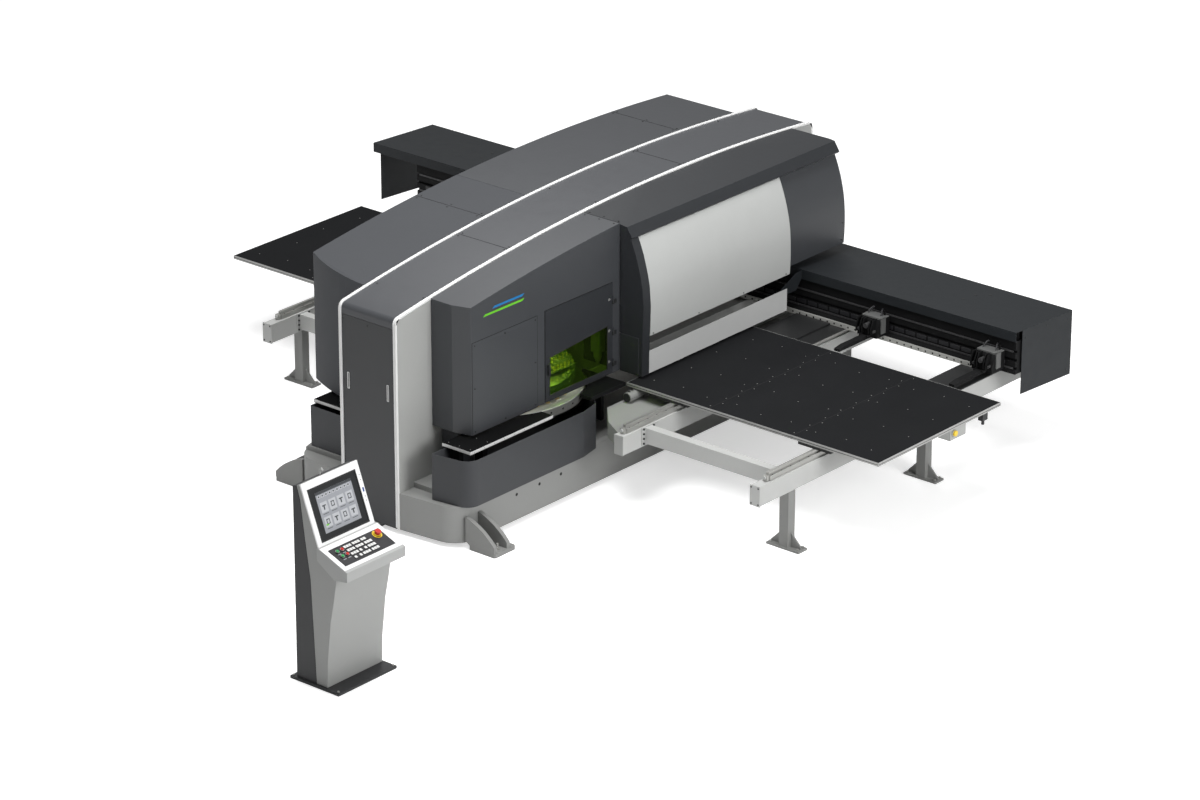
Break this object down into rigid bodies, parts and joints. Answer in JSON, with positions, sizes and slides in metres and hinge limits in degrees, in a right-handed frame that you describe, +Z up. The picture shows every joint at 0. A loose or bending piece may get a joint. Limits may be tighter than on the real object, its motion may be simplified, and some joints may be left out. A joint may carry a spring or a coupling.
{
  "type": "punch laser combination machine",
  "caption": "Sheet-metal turret punch and laser machine with arched dark housings, brush tables, clamp carriage under a long cover and a free-standing console.",
  "frame": {"origin": "floor level under the middle of the spine's front face", "axes": "+X to the right-hand table, +Y from the front to the rear of the machine, +Z up"},
  "size_m": [8.11, 8.4266, 2.335],
  "materials": {
    "dark_paint": "satin",
    "light_paint": "satin",
    "white_paint": "satin",
    "brush_top": "matt brush",
    "edge_aluminium": "grooved",
    "machined_steel": "ground",
    "black_steel": "matt",
    "turret_steel": "machined",
    "green_glass": "tinted",
    "black_plastic": "matt",
    "screen_glass": "gloss",
    "red_plastic": "gloss",
    "green_plastic": "gloss",
    "yellow_plastic": "gloss"
  },
  "bodies": {
    "frame": {"access_panel": "dark_paint", "base_feet": "light_paint", "base_frame": "light_paint", "beam_brackets": "light_paint", "beam_legs": "light_paint", "console_body": "light_paint", "console_desk": "light_paint", "console_shell": "dark_paint", "cross_beams": "light_paint", "door_hinges": "black_steel", "edge_strips": "white_paint", "fixed_table_edges": "edge_aluminium", "fixed_table_tops": "brush_top", "front_panel": "dark_paint", "guard_front_leaf": "light_paint", "inner_beams": "light_paint", "keypad": "black_plastic", "left_front_housing": "dark_paint", "left_lower_housing": "dark_paint", "left_rear_housing": "dark_paint", "light_panel": "light_paint", "outer_beams": "light_paint", "ram_guide": "black_steel", "rear_side_panel": "dark_paint", "right_front_housing": "dark_paint", "right_lower_housing": "dark_paint", "right_rear_housing": "dark_paint", "screen": "screen_glass", "screen_frame": "white_paint", "spine_frame": "light_paint", "spine_roof": "dark_paint", "y_motor": "black_steel", "y_rails": "machined_steel"},
    "y_carriage": {"moving_table_tops": "brush_top", "moving_table_edges": "edge_aluminium", "slide_plates": "black_steel", "x_beam": "black_steel", "carriage_cover": "dark_paint", "guard_rear_leaf": "light_paint", "switch_box": "light_paint"},
    "clamp_carriage": {"clamp_rail": "machined_steel", "clamp_bodies": "black_steel"},
    "jaw_body_1": {"jaw_1": "black_steel"},
    "jaw_body_2": {"jaw_2": "black_steel"},
    "guard_body_a": {"guard_leaf_a": "light_paint"},
    "guard_body_b": {"guard_leaf_b": "light_paint"},
    "screw_body": {"y_screw": "machined_steel"},
    "upper_disc": {"upper_turret": "turret_steel"},
    "lower_disc": {"lower_turret": "turret_steel"},
    "ram_body": {"punch_ram": "machined_steel"},
    "laser_body": {"laser_head": "machined_steel"},
    "door_leaf": {"door": "dark_paint", "door_window": "green_glass"},
    "latch_body": {"door_latch": "black_plastic"},
    "emergency_body": {"emergency_stop": "red_plastic"},
    "start_body": {"start_button": "green_plastic"},
    "stop_body": {"stop_button": "red_plastic"},
    "feed_start_body": {"feed_start_button": "green_plastic"},
    "feed_stop_body": {"feed_stop_button": "red_plastic"},
    "table_stop_body": {"switch_button": "yellow_plastic"}
  },
  "joints": [
    {"name": "y_axis", "type": "slide", "parent": "frame", "child": "y_carriage", "axis": [0, 1, 0], "range_m": [-1.5, 0]},
    {"name": "guard_slide_a", "type": "slide", "parent": "frame", "child": "guard_body_a", "axis": [0, 1, 0], "range_m": [-0.501, 0]},
    {"name": "guard_slide_b", "type": "slide", "parent": "frame", "child": "guard_body_b", "axis": [0, 1, 0], "range_m": [-1.001, 0]},
    {"name": "screw_spin", "type": "hinge", "parent": "frame", "child": "screw_body", "pos_m": [1.034, 2.48, 0.765], "axis": [0, 1, 0], "continuous": true},
    {"name": "x_axis", "type": "slide", "parent": "y_carriage", "child": "clamp_carriage", "axis": [1, 0, 0], "range_m": [-3.05, 0.1]},
    {"name": "jaw_hinge_1", "type": "hinge", "parent": "clamp_carriage", "child": "jaw_body_1", "pos_m": [1.89, 4.56, 0.868], "axis": [1, 0, 0], "range_deg": [-6, 0]},
    {"name": "jaw_hinge_2", "type": "hinge", "parent": "clamp_carriage", "child": "jaw_body_2", "pos_m": [3.175, 4.56, 0.868], "axis": [1, 0, 0], "range_deg": [-6, 0]},
    {"name": "upper_turret_spin", "type": "hinge", "parent": "frame", "child": "upper_disc", "pos_m": [0, 1.6, 1], "axis": [0, 0, 1], "continuous": true},
    {"name": "lower_turret_spin", "type": "hinge", "parent": "frame", "child": "lower_disc", "pos_m": [0, 1.6, 0.8], "axis": [0, 0, 1], "continuous": true},
    {"name": "ram_slide", "type": "slide", "parent": "frame", "child": "ram_body", "axis": [0, 0, 1], "range_m": [-0.037, 0]},
    {"name": "laser_slide", "type": "slide", "parent": "frame", "child": "laser_body", "axis": [0, 0, 1], "range_m": [-0.046, 0.03]},
    {"name": "door_hinge", "type": "hinge", "parent": "frame", "child": "door_leaf", "pos_m": [0.768, 2.356, 1.325], "axis": [0, 0, 1], "range_deg": [0, 90]},
    {"name": "latch_turn", "type": "hinge", "parent": "door_leaf", "child": "latch_body", "pos_m": [0.77, 1.48, 1.23], "axis": [1, 0, 0], "range_deg": [0, 90]},
    {"name": "emergency_push", "type": "slide", "parent": "frame", "child": "emergency_body", "axis": [-0.3665, 0, -0.9304], "range_m": [0, 0.006], "stiffness_N_per_m": 800, "springref_m": -0.001},
    {"name": "start_push", "type": "slide", "parent": "frame", "child": "start_body", "axis": [-0.3665, 0, -0.9304], "range_m": [0, 0.005], "stiffness_N_per_m": 300, "springref_m": -0.001},
    {"name": "stop_push", "type": "slide", "parent": "frame", "child": "stop_body", "axis": [-0.3665, 0, -0.9304], "range_m": [0, 0.005], "stiffness_N_per_m": 300, "springref_m": -0.001},
    {"name": "feed_start_push", "type": "slide", "parent": "frame", "child": "feed_start_body", "axis": [-0.3665, 0, -0.9304], "range_m": [0, 0.005], "stiffness_N_per_m": 300, "springref_m": -0.001},
    {"name": "feed_stop_push", "type": "slide", "parent": "frame", "child": "feed_stop_body", "axis": [-0.3665, 0, -0.9304], "range_m": [0, 0.005], "stiffness_N_per_m": 300, "springref_m": -0.001},
    {"name": "table_stop_push", "type": "slide", "parent": "y_carriage", "child": "table_stop_body", "axis": [-1, 0, 0], "range_m": [0, 0.006], "stiffness_N_per_m": 600, "springref_m": -0.001}
  ],
  "couplings": [
    {"joint": "guard_slide_a", "follows": "y_axis", "ratio": 0.33333},
    {"joint": "guard_slide_b", "follows": "y_axis", "ratio": 0.66667},
    {"joint": "screw_spin", "follows": "y_axis", "rad_per_m": 157.08},
    {"joint": "lower_turret_spin", "follows": "upper_turret_spin", "ratio": 1}
  ]
}
